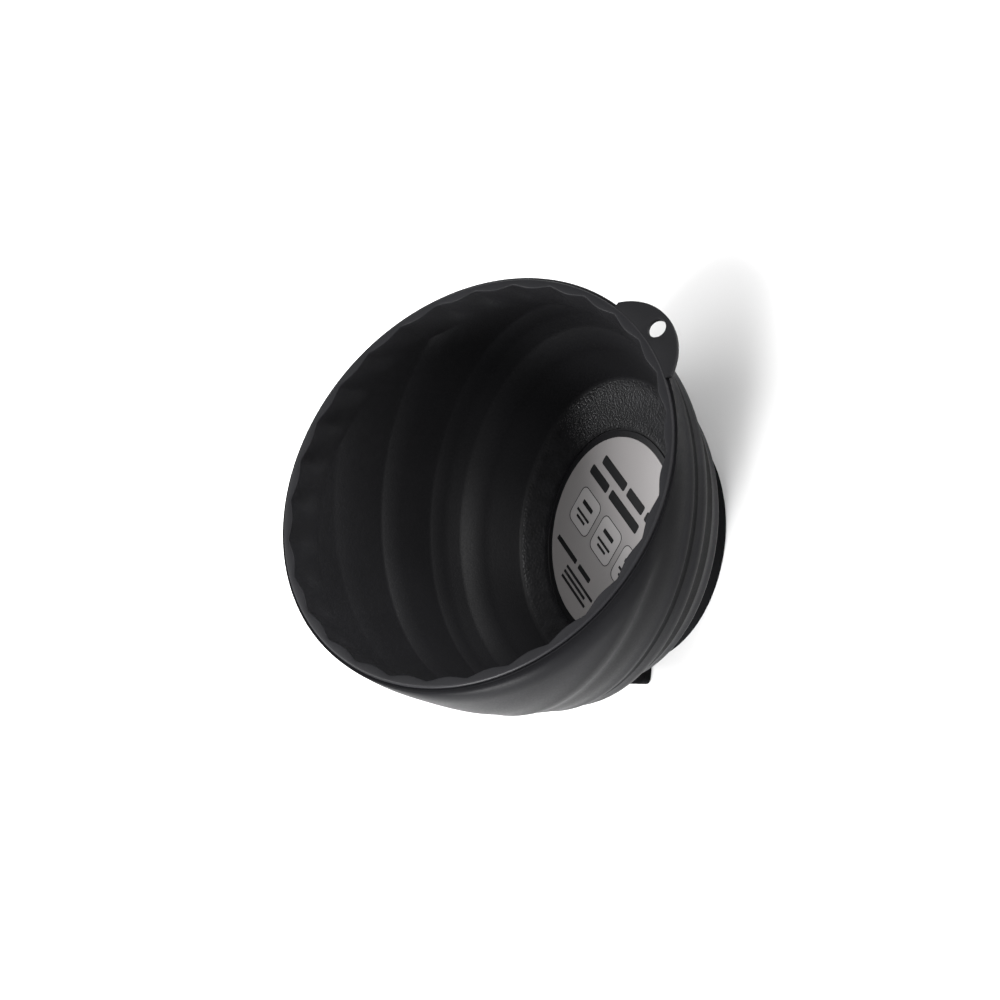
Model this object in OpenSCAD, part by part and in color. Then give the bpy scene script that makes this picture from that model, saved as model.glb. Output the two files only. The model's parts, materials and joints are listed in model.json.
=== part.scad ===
// Magnetic parts tray: a leaning round bowl with a slanted rim on a rubber-booted magnet base.
// The base stands on z = 0 and is centred on the origin. The rim's low side faces +X.

/* [Bowl] */
// Outer diameter of the round rim, measured in its own slanted plane
rim_d = 139.4; // [125:0.1:150]
// Slope of the rim plane
rim_tilt = 28.2; // [20:0.1:32]
// Height of the rim's centre above the ground
rim_z = 82; // [74:0.5:90]
// How far the fullest ring of the wall stands out past the rim's radius
belly = 1.8; // [1:0.1:3]
// Thickness of the wall at its fullest
wall_t = 4.5; // [3.5:0.1:5.5]
// Thickness of the floor over the magnet
floor_t = 3.3; // [2.8:0.1:4.5]
// Width of the flat margin outside the ring groove, before the floor rises as a dish
floor_margin = 1; // [0.5:0.1:3]
// Height of the narrow lip above the wall's shoulder
lip_h = 1.9; // [1.2:0.1:3]
// Width of the lip's rounded flank, outside its flat face
lip_flank = 1.9; // [1:0.1:2.2]
// Width of the lip between two scoops
lip_w = 4.3; // [4:0.1:6]

/* [Rim flutes] */
// Number of scoops round the inner edge of the rim
flute_count = 30; // [24:1:36]
// Length of a scoop down the wall
flute_l = 12; // [8:0.5:16]
// Depth of a scoop
flute_depth = 1.4; // [0.6:0.1:1.8]
// Direction of the first crest between scoops, turned from the rim's lowest point
flute_azimuth = 4.2; // [0:0.1:12]

/* [Hanging ear] */
// Direction of the ear, turned from the rim's lowest point
ear_azimuth = 9.8; // [-20:0.1:20]
// Reach of the ear past the rim
ear_reach = 8.3; // [7:0.1:12]
// Radius of the ear's round outline
ear_r = 20.7; // [16:0.1:26]
// Thickness of the ear
ear_t = 1.5; // [1.2:0.1:2]
// Drop of the ear's face below the rim's face
ear_drop = 0.3; // [0.2:0.1:0.5]
// Diameter of the hanging hole
ear_hole_d = 6; // [4:0.1:6.5]
// Distance of the hanging hole's centre from the ear's tip
ear_hole_edge = 4.7; // [4.5:0.1:8]

/* [Magnet base] */
// Diameter of the rubber boot
base_d = 81.2; // [74:0.1:84]
// Height of the magnet base under the bowl
base_h = 11.5; // [9:0.1:14]
// Thickness of the boot's side wall
boot_wall = 1.8; // [1.2:0.1:3]
// Thickness of the boot's bottom
boot_floor = 2; // [1.5:0.1:3]
// Rounding of the boot's lower edge
boot_round = 0.6; // [0.4:0.1:1.4]
// Thickness of the steel pole plate
plate_t = 1.5; // [1:0.1:2.5]
// Bore of the ring magnet
magnet_bore_d = 34; // [26:0.5:40]
// Diameter of the steel bush in the magnet's bore
bush_d = 20; // [14:0.5:24]

/* [Lifting tab] */
// Direction of the tab, turned from the rim's lowest point
tab_azimuth = -126; // [-160:1:-60]
// Reach of the tab past the boot
tab_l = 7.3; // [5:0.1:10]
// Width of the tab
tab_w = 13.5; // [10:0.5:20]
// Thickness of the tab
tab_t = 3; // [2:0.1:4]
// Corner radius of the tab
tab_corner = 2; // [1:0.1:4]

/* [Fixing] */
// Diameter of the screw
screw_d = 5; // [4:0.1:6]
// Diameter of the screw's head
screw_head_d = 9.5; // [8.5:0.1:11]
// Height of the screw's head
screw_head_h = 1.2; // [0.8:0.1:1.4]
// Gap between the screw's tip and the pole plate
screw_tip_gap = 1.2; // [0.6:0.1:3]
// Outer diameter of the washer
washer_d = 13; // [12:0.1:16]
// Thickness of the washer
washer_t = 0.6; // [0.4:0.1:0.8]

/* [Floor label] */
// Diameter of the sticker
label_d = 65; // [50:0.5:67]
// Thickness of the sticker
label_t = 0.2; // [0.1:0.05:0.4]
// Diameter of the thin ring groove round the sticker
ring_groove_d = 69.4; // [68.5:0.1:74]
// Width of the ring groove
ring_groove_w = 0.8; // [0.5:0.1:1.2]
// Depth of the ring groove
ring_groove_depth = 0.5; // [0.3:0.1:0.8]

/* [Hidden] */
$fn = 96;
// Shift of a wall ring's centre to the low side, as a share of its height
lean_share = 0.236;
// Sideways shift of an outer ring's centre, as a share of its height
side_lean_share = -0.019;
// Wall ring heights, as shares of the height from the bowl's underside to the rim's top
outer_z_shares = [0, 0.008, 0.022, 0.054, 0.100, 0.160, 0.195, 0.225, 0.255, 0.285, 0.315, 0.366, 0.420,
                  0.460, 0.500, 0.591, 0.690, 0.806, 1];
// Their radii, as shares of the wall's outer radius
outer_r_shares = [0.645, 0.677, 0.695, 0.711, 0.757, 0.815, 0.853, 0.864, 0.877, 0.902, 0.911, 0.934, 0.948,
                  0.969, 0.979, 0.997, 1, 0.997, 0.979];
// Inner ring heights, as shares of the height from the floor to the rim's top
inner_z_shares = [0.045, 0.163, 0.214, 0.252, 0.305, 0.338, 0.366, 0.481, 0.532, 0.568, 0.678, 0.725,
                  0.769, 1];
// Their radii, as shares of the wall's inner radius
inner_r_shares = [0.724, 0.794, 0.823, 0.881, 0.899, 0.910, 0.942, 0.930, 0.937, 0.991, 0.973, 0.978,
                  1, 1.007];
// Lip rows: inset from the rim as shares of the flank's width, and drop as shares of the lip's height
lip_inset_shares = [0, 0, 0.25, 1];
lip_drop_shares = [1, 0.75, 0.25, 0];
// Scoop rows down the wall, as shares of the scoop's length, and the depth there as a share
flute_row_shares = [0, 0.7, 0.92];
flute_depth_shares = [1, 1, 0.7];
// Depth at each of a scoop's columns, as shares
flute_column_shares = [0, 0.36, 1, 0.36];
// Height below the rim plane over which the wall's rings close up, and the outer wall curves in to the lip
soft_h = 6;
// Gap for loose fits
fit_gap = 0.15;
// Overrun of every cut
over = 1;
// Steps that find where a wall ring meets a slanted plane
meet_steps = 24;
rim_r = rim_d / 2;
floor_z = base_h + floor_t;
// The flat floor takes in both the sticker and the ring groove
floor_r = max(label_d / 2, ring_groove_d / 2 + ring_groove_w) + floor_margin;
rim_top = rim_z + rim_r * sin(rim_tilt);
wall_r = rim_r + belly;
inner_r = wall_r - wall_t;
columns = flute_count * len(flute_column_shares);
outer_table = [for (i = [0:len(outer_z_shares) - 1])
    [base_h + outer_z_shares[i] * (rim_top - base_h), wall_r * outer_r_shares[i]]];
inner_table = [for (i = [0:len(inner_z_shares) - 1])
    [floor_z + inner_z_shares[i] * (rim_top - floor_z), inner_r * inner_r_shares[i]]];
// The rim's centre lies midway between the wall's lowest and highest rim points
wall_low_r = lookup(rim_z - rim_r * sin(rim_tilt), outer_table);
wall_high_r = lookup(rim_top, outer_table);
rim_x = lean_share * rim_z + (wall_low_r - wall_high_r) / 2;
ear_tip_r = rim_r + ear_reach;
ear_hole_r = ear_tip_r - ear_hole_edge;
plate_d = base_d - 2 * boot_wall - 2 * fit_gap;
pocket_depth = washer_t + screw_head_h + fit_gap;
// Length of the screw under its head
screw_l = floor_z - pocket_depth + washer_t - boot_floor - plate_t - screw_tip_gap;

// Height at which a wall meets the plane that lies drop below the rim, at angle a
function meet(table, a, drop, z, steps) =
    steps == 0 ? z :
    meet(table, a, drop, rim_z - (drop + (lean_share * z + lookup(z, table) * cos(a) - rim_x) * sin(rim_tilt))
         / cos(rim_tilt), steps - 1);
function cap_z(table, a, drop) = meet(table, a, drop, rim_z, meet_steps);
// Points of the outer and the inner wall at angle a and height z
function outer_point(a, z) =
    let (r = lookup(z, outer_table))
    [lean_share * z + r * cos(a), side_lean_share * z + r * sin(a), z];
function inner_point(a, z) =
    let (r = lookup(z, inner_table))
    [lean_share * z + r * cos(a), r * sin(a), z];
// Ring heights near a cap close up below it and never cross it
function squeeze(z, cap) = z < cap - soft_h ? z : cap - soft_h * soft_h / (z - cap + 2 * soft_h);
// Share by which a ring at height z has curved in from the wall to the lip's foot
function curve_in(z, cap) = pow(max(0, soft_h - cap + z) / soft_h, 2);
// Point of the rim's own frame
function rim_point(a, r, drop) =
    [rim_x + r * cos(a) * cos(rim_tilt) - drop * sin(rim_tilt), r * sin(a),
     rim_z - r * cos(a) * sin(rim_tilt) - drop * cos(rim_tilt)];
// Point of the outer wall, drawn in to the lip's foot just below it
function shoulder_point(a, z, cap) =
    let (ring_z = squeeze(z, cap), share = curve_in(ring_z, cap))
    (1 - share) * outer_point(a, ring_z) + share * rim_point(a, rim_r, lip_h);
// Point between the lip's inner edge and the wall at the foot of the scoops, pushed out by depth
function flute_point(a, share, depth) =
    (1 - share) * rim_point(a, rim_r - lip_w + depth, 0)
    + share * (inner_point(a, cap_z(inner_table, a, flute_l)) + depth * [cos(a), sin(a), 0]);
function angle_of(c) = flute_azimuth + 360 * c / columns;
function scoop(c) = flute_depth * flute_column_shares[c % len(flute_column_shares)];

// Rows of the bowl's skin: up the outside, over the lip and down the inside
outer_rows = [for (p = outer_table) [for (c = [0:columns - 1])
    shoulder_point(angle_of(c), p[0], cap_z(outer_table, angle_of(c), lip_h))]];
lip_rows = [for (i = [0:len(lip_drop_shares) - 1]) [for (c = [0:columns - 1])
    rim_point(angle_of(c), rim_r - lip_flank * lip_inset_shares[i], lip_h * lip_drop_shares[i])]];
flute_rows = [for (i = [0:len(flute_row_shares) - 1]) [for (c = [0:columns - 1])
    flute_point(angle_of(c), flute_row_shares[i], scoop(c) * flute_depth_shares[i])]];
inner_rows = [for (i = [len(inner_table) - 1:-1:0]) [for (c = [0:columns - 1])
    inner_point(angle_of(c), squeeze(inner_table[i][0], cap_z(inner_table, angle_of(c), flute_l)))]];
floor_row = [[for (c = [0:columns - 1])
    [floor_r * cos(angle_of(c)), floor_r * sin(angle_of(c)), floor_z]]];
skin_rows = concat(outer_rows, lip_rows, flute_rows, inner_rows, floor_row);
skin_faces = [for (k = [0:len(skin_rows) - 2]) for (c = [0:columns - 1])
    let (n = (c + 1) % columns, a = k * columns, b = a + columns)
    each [[a + c, b + c, b + n], [a + c, b + n, a + n]]];
skin_ends = [[for (c = [0:columns - 1]) c],
             [for (c = [columns - 1:-1:0]) (len(skin_rows) - 1) * columns + c]];

// Places its children in the rim plane, with +X to the rim's lowest point
module in_rim_plane()
    translate([rim_x, 0, rim_z])
        rotate([0, rim_tilt, 0])
            children();

module bowl_skin()
    polyhedron(points = [for (row = skin_rows) each row],
               faces = concat(skin_faces, skin_ends), convexity = 6);

// Ear plate: a disc about a point inside the rim, kept outside the rim's middle line
module ear_plate()
    in_rim_plane()
        rotate([0, 0, ear_azimuth])
            translate([0, 0, -ear_drop - ear_t])
                difference() {
                    translate([ear_tip_r - ear_r, 0, 0])
                        cylinder(r = ear_r, h = ear_t);
                    translate([0, 0, -over])
                        cylinder(r = rim_r - wall_t / 2, h = ear_t + 2 * over);
                }

module ear_hole()
    in_rim_plane()
        rotate([0, 0, ear_azimuth])
            translate([ear_hole_r, 0, -ear_drop - ear_t - over])
                cylinder(d = ear_hole_d, h = ear_t + 2 * over);

module bowl()
    color([0.13, 0.13, 0.14])
        difference() {
            union() {
                bowl_skin();
                ear_plate();
            }
            ear_hole();
            translate([0, 0, floor_z - pocket_depth])
                cylinder(d = washer_d + 2 * fit_gap, h = pocket_depth + over);
            translate([0, 0, base_h - over])
                cylinder(d = screw_d + 2 * fit_gap, h = floor_t + 2 * over);
            translate([0, 0, floor_z - ring_groove_depth])
                rotate_extrude()
                    translate([ring_groove_d / 2, 0])
                        square([ring_groove_w, ring_groove_depth + over]);
        }

module floor_label()
    color([0.66, 0.62, 0.61])
        translate([0, 0, floor_z])
            cylinder(d = label_d, h = label_t);

module base_boot()
    color([0.05, 0.05, 0.055])
        difference() {
            union() {
                rotate_extrude()
                    polygon([[0, 0], [base_d / 2 - boot_round, 0], [base_d / 2, boot_round],
                             [base_d / 2, base_h], [0, base_h]]);
                rotate([0, 0, tab_azimuth])
                    linear_extrude(tab_t)
                        tab_outline();
            }
            translate([0, 0, boot_floor])
                cylinder(d = base_d - 2 * boot_wall, h = base_h - boot_floor + over);
        }

// Tab outline from inside the boot's wall to its round-cornered end
module tab_outline() {
    tip = base_d / 2 + tab_l;
    root = base_d / 2 - boot_wall;
    translate([root, -tab_w / 2])
        square([tip - tab_corner - root, tab_w]);
    translate([root, tab_corner - tab_w / 2])
        square([tip - root, tab_w - 2 * tab_corner]);
    for (side = [-1, 1])
        translate([tip - tab_corner, side * (tab_w / 2 - tab_corner)])
            circle(r = tab_corner);
}

module ring_magnet()
    color([0.2, 0.2, 0.22])
        translate([0, 0, boot_floor + plate_t])
            difference() {
                cylinder(d = plate_d, h = base_h - boot_floor - plate_t);
                translate([0, 0, -over])
                    cylinder(d = magnet_bore_d, h = base_h - boot_floor - plate_t + 2 * over);
            }

module pole_plate()
    color([0.62, 0.63, 0.65])
        translate([0, 0, boot_floor])
            cylinder(d = plate_d, h = plate_t);

module pole_bush()
    color([0.7, 0.7, 0.72])
        translate([0, 0, boot_floor + plate_t])
            difference() {
                cylinder(d = bush_d, h = base_h - boot_floor - plate_t);
                translate([0, 0, -over])
                    cylinder(d = screw_d + 2 * fit_gap, h = base_h - boot_floor - plate_t + 2 * over);
            }

module fixing_screw()
    color([0.75, 0.75, 0.77])
        translate([0, 0, floor_z - pocket_depth + washer_t]) {
            cylinder(d = screw_head_d, h = screw_head_h);
            translate([0, 0, -screw_l])
                cylinder(d = screw_d, h = screw_l);
        }

module screw_washer()
    color([0.72, 0.72, 0.74])
        translate([0, 0, floor_z - pocket_depth])
            difference() {
                cylinder(d = washer_d, h = washer_t);
                translate([0, 0, -over])
                    cylinder(d = screw_d + 2 * fit_gap, h = washer_t + 2 * over);
            }

bowl();
floor_label();
base_boot();
ring_magnet();
pole_plate();
pole_bush();
fixing_screw();
screw_washer();
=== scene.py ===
"""Magnetic parts tray: a leaning bowl with a hanging ear, a floor sticker and a rubber-booted magnet base.

Every size is in metres, in the frame of the CAD part.
The base stands on z = 0 and the rim's low side faces +X.
"""

import json
import math

import bmesh
import bpy
import numpy as np
from bpy.props import FloatProperty, FloatVectorProperty, IntProperty, PointerProperty
from mathutils import Matrix, Vector


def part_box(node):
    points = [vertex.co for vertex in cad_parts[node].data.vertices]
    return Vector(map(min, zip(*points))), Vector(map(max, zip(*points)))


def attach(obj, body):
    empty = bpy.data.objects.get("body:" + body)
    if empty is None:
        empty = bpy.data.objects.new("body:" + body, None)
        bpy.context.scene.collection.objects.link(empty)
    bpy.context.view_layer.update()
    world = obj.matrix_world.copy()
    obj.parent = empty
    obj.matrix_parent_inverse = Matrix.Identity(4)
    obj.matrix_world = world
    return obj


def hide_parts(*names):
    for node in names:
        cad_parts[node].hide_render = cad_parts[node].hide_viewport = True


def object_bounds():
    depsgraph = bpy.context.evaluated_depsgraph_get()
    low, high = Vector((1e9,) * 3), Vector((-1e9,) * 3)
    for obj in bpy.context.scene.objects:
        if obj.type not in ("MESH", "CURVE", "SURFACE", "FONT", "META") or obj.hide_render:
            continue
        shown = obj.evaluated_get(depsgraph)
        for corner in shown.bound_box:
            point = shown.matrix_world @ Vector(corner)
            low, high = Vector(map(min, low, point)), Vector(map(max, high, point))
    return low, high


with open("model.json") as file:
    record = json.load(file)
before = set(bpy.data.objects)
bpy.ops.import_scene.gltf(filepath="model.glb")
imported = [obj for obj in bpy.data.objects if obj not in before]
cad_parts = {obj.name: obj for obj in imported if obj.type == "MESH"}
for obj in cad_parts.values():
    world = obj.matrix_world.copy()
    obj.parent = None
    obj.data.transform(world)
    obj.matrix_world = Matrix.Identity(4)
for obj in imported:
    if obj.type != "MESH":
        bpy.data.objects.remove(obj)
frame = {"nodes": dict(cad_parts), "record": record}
CAD_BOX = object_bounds()

bl_info = {
    "name": "Magnetic Parts Tray",
    "version": (1, 0, 0),
    "blender": (4, 5, 0),
    "location": "3D View > Sidebar > Parts Tray",
    "description": "Models a leaning parts bowl on a rubber-booted magnet base around its CAD frame",
    "category": "Object",
}

BODY = "root"
ORIGIN = Vector((0.0, 0.0, 0.0))
UPRIGHT = Vector((0.0, 0.0, 1.0))
WHITE = (1.0, 1.0, 1.0, 1.0)
MM_PER_METRE = 1000
# Options that the properties for lengths and for colours share
LENGTH = {"unit": "LENGTH", "precision": 5}
COLOUR = {"size": 4, "min": 0.0, "max": 1.0, "subtype": "COLOR"}

# Places that come from the CAD frame
BOOT_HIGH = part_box("base_boot")[1]
STICKER_LOW, STICKER_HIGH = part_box("floor_label")
PLATE_LOW, PLATE_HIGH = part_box("pole_plate")
WASHER_LOW, WASHER_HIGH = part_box("screw_washer")
BASE_TOP = BOOT_HIGH.z
FLOOR_TOP = STICKER_LOW.z
BASE_RADIUS = BOOT_HIGH.x
TRAY_TOP = CAD_BOX[1].z
# Gap between parts that fit together, and the screw's thread
FIT_GAP = 0.00015
SCREW_RADIUS = 0.0025
SCREW_BORE_RADIUS = SCREW_RADIUS + FIT_GAP

# Shift of a wall ring's centre to the low side and sideways, as shares of its height
LEAN = 0.236
SIDE_LEAN = -0.019
# Rings of the outer wall: height share from the underside to the rim's top, radius share, rounding
OUTER_RINGS = (
    (0.000, 0.645, 0.0),
    (0.008, 0.677, 0.0006),
    (0.022, 0.695, 0.0006),
    (0.054, 0.710, 0.0012),
    (0.101, 0.757, 0.0020),
    (0.158, 0.815, 0.0024),
    (0.194, 0.857, 0.0018),
    (0.229, 0.864, 0.0015),
    (0.256, 0.876, 0.0014),
    (0.285, 0.905, 0.0015),
    (0.318, 0.910, 0.0016),
    (0.366, 0.932, 0.0022),
    (0.422, 0.947, 0.0019),
    (0.461, 0.973, 0.0019),
    (0.503, 0.978, 0.0020),
    (0.591, 0.997, 0.0040),
    (0.690, 1.000, 0.0030),
    (0.806, 0.997, 0.0040),
    (1.000, 0.979, 0.0),
)
# Rings of the inner wall: height share from the floor to the rim's top, radius share, rounding
INNER_RINGS = (
    (0.043, 0.716, 0.0),
    (0.051, 0.727, 0.0003),
    (0.163, 0.806, 0.0015),
    (0.212, 0.829, 0.0042),
    (0.252, 0.882, 0.0006),
    (0.305, 0.915, 0.0013),
    (0.340, 0.925, 0.0022),
    (0.366, 0.943, 0.0005),
    (0.481, 0.957, 0.0018),
    (0.530, 0.964, 0.0036),
    (0.568, 0.990, 0.0006),
    (0.678, 0.996, 0.0020),
    (0.730, 0.999, 0.0030),
    (0.769, 1.010, 0.0008),
    (1.000, 1.012, 0.0),
)
# Painted light and shade on the outer wall: painted highlights on its ridges and bottom band, painted shade
# in its grooves and on the undersides of its ridges: height share of the whole tray, shade
WALL_PAINTED_LIGHT = (
    (0.000, 1.5),
    (0.148, 1.5),
    (0.186, 0.2),
    (0.256, 0.2),
    (0.298, 1.2),
    (0.326, 0.5),
    (0.350, 0.5),
    (0.379, 1.2),
    (0.412, 0.6),
    (0.470, 0.6),
    (0.620, 1.0),
    (1.000, 1.0),
)
# Painted shade on the wall's plastic and painted light on the lip's, as shares of the plain colour
WALL_PAINTED_SHADE = 0.65
LIP_PAINTED_LIGHT = 1.3
# Height shares of the grooves between ridges, which stay matt
MATT_BANDS = ((0.178, 0.264), (0.320, 0.354))
# Finishes of the bowl, by their place among its materials
OUTSIDE, LIP, INSIDE, FLOOR_GRAIN, FLOOR_SMOOTH, GROOVE = range(6)
# Height under a slanted cap over which rings close up, and rings kept above the rim's top to fill it
SOFT_HEIGHT = 0.006
SPARE_HEIGHT = 0.060
# Passes that settle where a wall meets a slanted plane
MEET_STEPS = 24
# Arc steps at a rounded corner of a section, and the longest row of faces along it
ROUND_STEPS = 4
ROW_LENGTH = 0.0028
# Rows down a scoop, as shares of its length, the share from which it fades out, and how blunt its ridges are
SCOOP_ROWS = (0.0, 0.06, 0.16, 0.28, 0.4, 0.52, 0.62, 0.7, 0.77, 0.83, 0.88, 0.92, 0.96, 1.0)
SCOOP_FADE = 0.25
SCOOP_BLUNTNESS = 0.7
# Turns over which an edge is shaded sharp, and over which it is rounded off
SHARP_ANGLE = math.radians(32)
ROUND_ANGLE = math.radians(60)
# Arc steps of a rounded edge, of a printed outline's corner and of the tab's corners
EDGE_STEPS = 3
OUTLINE_STEPS = 5
TAB_STEPS = 8
# Arc steps of the ear's outline, of its root and of its hole
EAR_STEPS = 72
ROOT_STEPS = 48
HOLE_STEPS = 48
# Sectors round a turned piece, and mesh columns in each
BOOT_SECTORS = (24, 10)
FILM_SECTORS = (18, 10)
MERGE_DISTANCE = 1e-6
# Plain bars of print on the sticker: left end, middle height, length and thickness, as shares of its radius
PRINT_BARS = (
    (-0.66, 0.48, 0.50, 0.105),
    (-0.10, 0.48, 0.34, 0.105),
    (0.30, 0.48, 0.30, 0.105),
    (-0.76, 0.29, 0.38, 0.105),
    (-0.32, 0.29, 0.62, 0.105),
    (-0.70, -0.56, 0.44, 0.055),
    (-0.20, -0.56, 0.26, 0.055),
    (-0.36, -0.68, 0.60, 0.030),
    (-0.36, -0.74, 0.48, 0.030),
    (-0.36, -0.80, 0.54, 0.030),
)
# Outlined panels of the print: middle place and side, as shares of the sticker's radius
PRINT_PANELS = (
    (-0.52, -0.10, 0.40),
    (-0.03, -0.10, 0.40),
    (0.46, -0.10, 0.40),
)
# Bars inside every panel: middle height, length and thickness, as shares of the panel's side
PANEL_BARS = (
    (0.16, 0.52, 0.12),
    (-0.12, 0.66, 0.07),
    (-0.26, 0.44, 0.07),
)
# Corner rounding of printed bars and panels, as a share of their shorter side
CORNER_SHARE = 0.2
# Place of the panels' film among the print's materials
PANEL_FILM = 1
# Middle part of a noise's values, which a finish spreads over its own range
NOISE_LOW = 0.3
NOISE_HIGH = 0.7
# Size of the cloudy flow marks in moulded plastic, and how far its roughness wanders with the grain
FLOW_SIZE = 0.03
GRAIN_ROUGHNESS = 0.05
# Lights of the stage: name, place, side and power in watts; all of them are aimed at one spot
LIGHT_AIM = Vector((0.02, 0.0, 0.05))
LIGHTS = (
    ("key_light", (-0.629, 0.649, 1.361), 1.2, 20.0),
    ("top_light", (-0.78, 0.0, 1.436), 0.5, 22.0),
    ("front_light", (1.384, 0.788, 0.328), 0.5, 13.0),
    ("side_light", (-0.866, -1.266, 0.464), 0.6, 76.0),
    ("fill_light", (1.385, -0.241, 0.850), 1.2, 18.0),
)
# Width of the camera's sensor in millimetres
SENSOR_WIDTH = 36.0


class TrayBowlSizes(bpy.types.PropertyGroup):
    """Sizes and colour of the moulded bowl"""

    rim_radius: FloatProperty(
        name="Rim Radius", description="Radius of the shoulder under the lip, in the rim's slanted plane",
        default=0.0697, min=0.06, max=0.08, **LENGTH)
    rim_tilt: FloatProperty(
        name="Rim Tilt", description="Slope of the rim plane",
        default=math.radians(28.2), min=0.3, max=0.6, subtype="ANGLE")
    rim_height: FloatProperty(
        name="Rim Height", description="Height of the rim's centre above the ground",
        default=0.082, min=0.07, max=0.095, **LENGTH)
    wall_radius: FloatProperty(
        name="Wall Radius", description="Outer radius of the wall's fullest ring",
        default=0.0714, min=0.062, max=0.082, **LENGTH)
    inner_radius: FloatProperty(
        name="Inner Radius", description="Inner radius of the wall's fullest ring",
        default=0.067, min=0.058, max=0.078, **LENGTH)
    floor_radius: FloatProperty(
        name="Floor Radius", description="Radius of the flat part of the floor, inside the rising dish",
        default=0.0365, min=0.036, max=0.040, **LENGTH)
    floor_round: FloatProperty(
        name="Floor Rounding", description="Rounding where the rising dish meets the flat floor",
        default=0.0012, min=0.0005, max=0.003, **LENGTH)
    lip_height: FloatProperty(
        name="Lip Height", description="Height of the narrow lip above the wall's shoulder",
        default=0.0011, min=0.0008, max=0.003, **LENGTH)
    lip_width: FloatProperty(
        name="Lip Width", description="Width of the lip between two scoops",
        default=0.0033, min=0.002, max=0.006, **LENGTH)
    lip_round: FloatProperty(
        name="Lip Rounding", description="Rounding of the lip's outer edge",
        default=0.0007, min=0.0005, max=0.001, **LENGTH)
    lip_inset: FloatProperty(
        name="Lip Inset", description="How far the lip stands in from the wall's shoulder",
        default=0.0009, min=0.0, max=0.002, **LENGTH)
    lip_groove: FloatProperty(
        name="Lip Groove", description="Depth of the thin groove between the lip and the shoulder",
        default=0.0004, min=0.0, max=0.001, **LENGTH)
    lip_edge: FloatProperty(
        name="Lip Inner Edge", description="Rounding of the lip's scalloped inner edge",
        default=0.00035, min=0.0001, max=0.0006, **LENGTH)
    scoop_count: IntProperty(
        name="Scoops", description="Number of shallow scoops round the inside of the rim",
        default=30, min=12, max=48)
    scoop_columns: IntProperty(
        name="Columns per Scoop", description="Mesh columns across one scoop",
        default=12, min=6, max=16)
    scoop_length: FloatProperty(
        name="Scoop Length", description="How far a scoop runs down from the rim",
        default=0.012, min=0.006, max=0.02, **LENGTH)
    scoop_depth: FloatProperty(
        name="Scoop Depth", description="How deep a scoop cuts into the lip",
        default=0.0013, min=0.0005, max=0.002, **LENGTH)
    scoop_turn: FloatProperty(
        name="Scoop Turn",
        description="Direction of the first ridge between two scoops, from the rim's lowest point",
        default=math.radians(4.2), subtype="ANGLE")
    groove_radius: FloatProperty(
        name="Groove Radius", description="Inner radius of the ring groove round the sticker",
        default=0.0347, min=0.033, max=0.037, **LENGTH)
    groove_width: FloatProperty(
        name="Groove Width", description="Width of the ring groove",
        default=0.0008, min=0.0004, max=0.0015, **LENGTH)
    groove_depth: FloatProperty(
        name="Groove Depth", description="Depth of the ring groove",
        default=0.0005, min=0.0002, max=0.001, **LENGTH)
    groove_round: FloatProperty(
        name="Groove Rounding", description="Rounding of the ring groove's edges",
        default=0.00015, min=0.00005, max=0.0002, **LENGTH)
    plastic_colour: FloatVectorProperty(
        name="Plastic", description="Colour of the moulded plastic",
        default=(0.0100, 0.0100, 0.0112, 1.0), **COLOUR)


class TrayEarSizes(bpy.types.PropertyGroup):
    """Sizes of the hanging ear"""

    turn: FloatProperty(
        name="Turn", description="Direction of the ear, from the rim's lowest point",
        default=math.radians(9.8), subtype="ANGLE")
    reach: FloatProperty(
        name="Reach", description="Reach of the ear past the rim",
        default=0.0083, min=0.005, max=0.012, **LENGTH)
    radius: FloatProperty(
        name="Radius", description="Radius of the ear's round outline",
        default=0.0207, min=0.016, max=0.026, **LENGTH)
    thickness: FloatProperty(
        name="Thickness", description="Thickness of the ear",
        default=0.0015, min=0.001, max=0.002, **LENGTH)
    drop: FloatProperty(
        name="Drop", description="Drop of the ear's face below the rim's face",
        default=0.0003, min=0.0, max=0.001, **LENGTH)
    end_height: FloatProperty(
        name="End Height", description="Height of the ear's short end edges above the rim",
        default=0.0009, min=0.0, max=0.002, **LENGTH)
    root_depth: FloatProperty(
        name="Root Depth", description="How far the ear's root reaches in from the wall's shoulder",
        default=0.0019, min=0.001, max=0.003, **LENGTH)
    edge_round: FloatProperty(
        name="Edge Rounding", description="Rounding of the ear's edges",
        default=0.0003, min=0.0001, max=0.0006, **LENGTH)


class TrayBaseSizes(bpy.types.PropertyGroup):
    """Sizes and colour of the rubber boot"""

    sole_round: FloatProperty(
        name="Sole Rounding", description="Rounding of the boot's lower edge",
        default=0.0009, min=0.0003, max=0.002, **LENGTH)
    mouth_round: FloatProperty(
        name="Mouth Rounding", description="Rounding of the boot's upper edge",
        default=0.0005, min=0.0001, max=0.0008, **LENGTH)
    tab_turn: FloatProperty(
        name="Tab Turn", description="Direction of the lifting tab",
        default=math.radians(-126), subtype="ANGLE")
    tab_reach: FloatProperty(
        name="Tab Reach", description="Reach of the lifting tab past the boot",
        default=0.0073, min=0.004, max=0.012, **LENGTH)
    tab_width: FloatProperty(
        name="Tab Width", description="Width of the lifting tab",
        default=0.0135, min=0.008, max=0.02, **LENGTH)
    tab_thickness: FloatProperty(
        name="Tab Thickness", description="Thickness of the lifting tab",
        default=0.003, min=0.002, max=0.004, **LENGTH)
    tab_corner: FloatProperty(
        name="Tab Corners", description="Rounding of the lifting tab's two corners",
        default=0.002, min=0.001, max=0.004, **LENGTH)
    tab_edge: FloatProperty(
        name="Tab Edges", description="Rounding of the lifting tab's edges",
        default=0.0005, min=0.0002, max=0.001, **LENGTH)
    rubber_colour: FloatVectorProperty(
        name="Rubber", description="Colour of the rubber boot",
        default=(0.0026, 0.0026, 0.0030, 1.0), **COLOUR)


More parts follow.
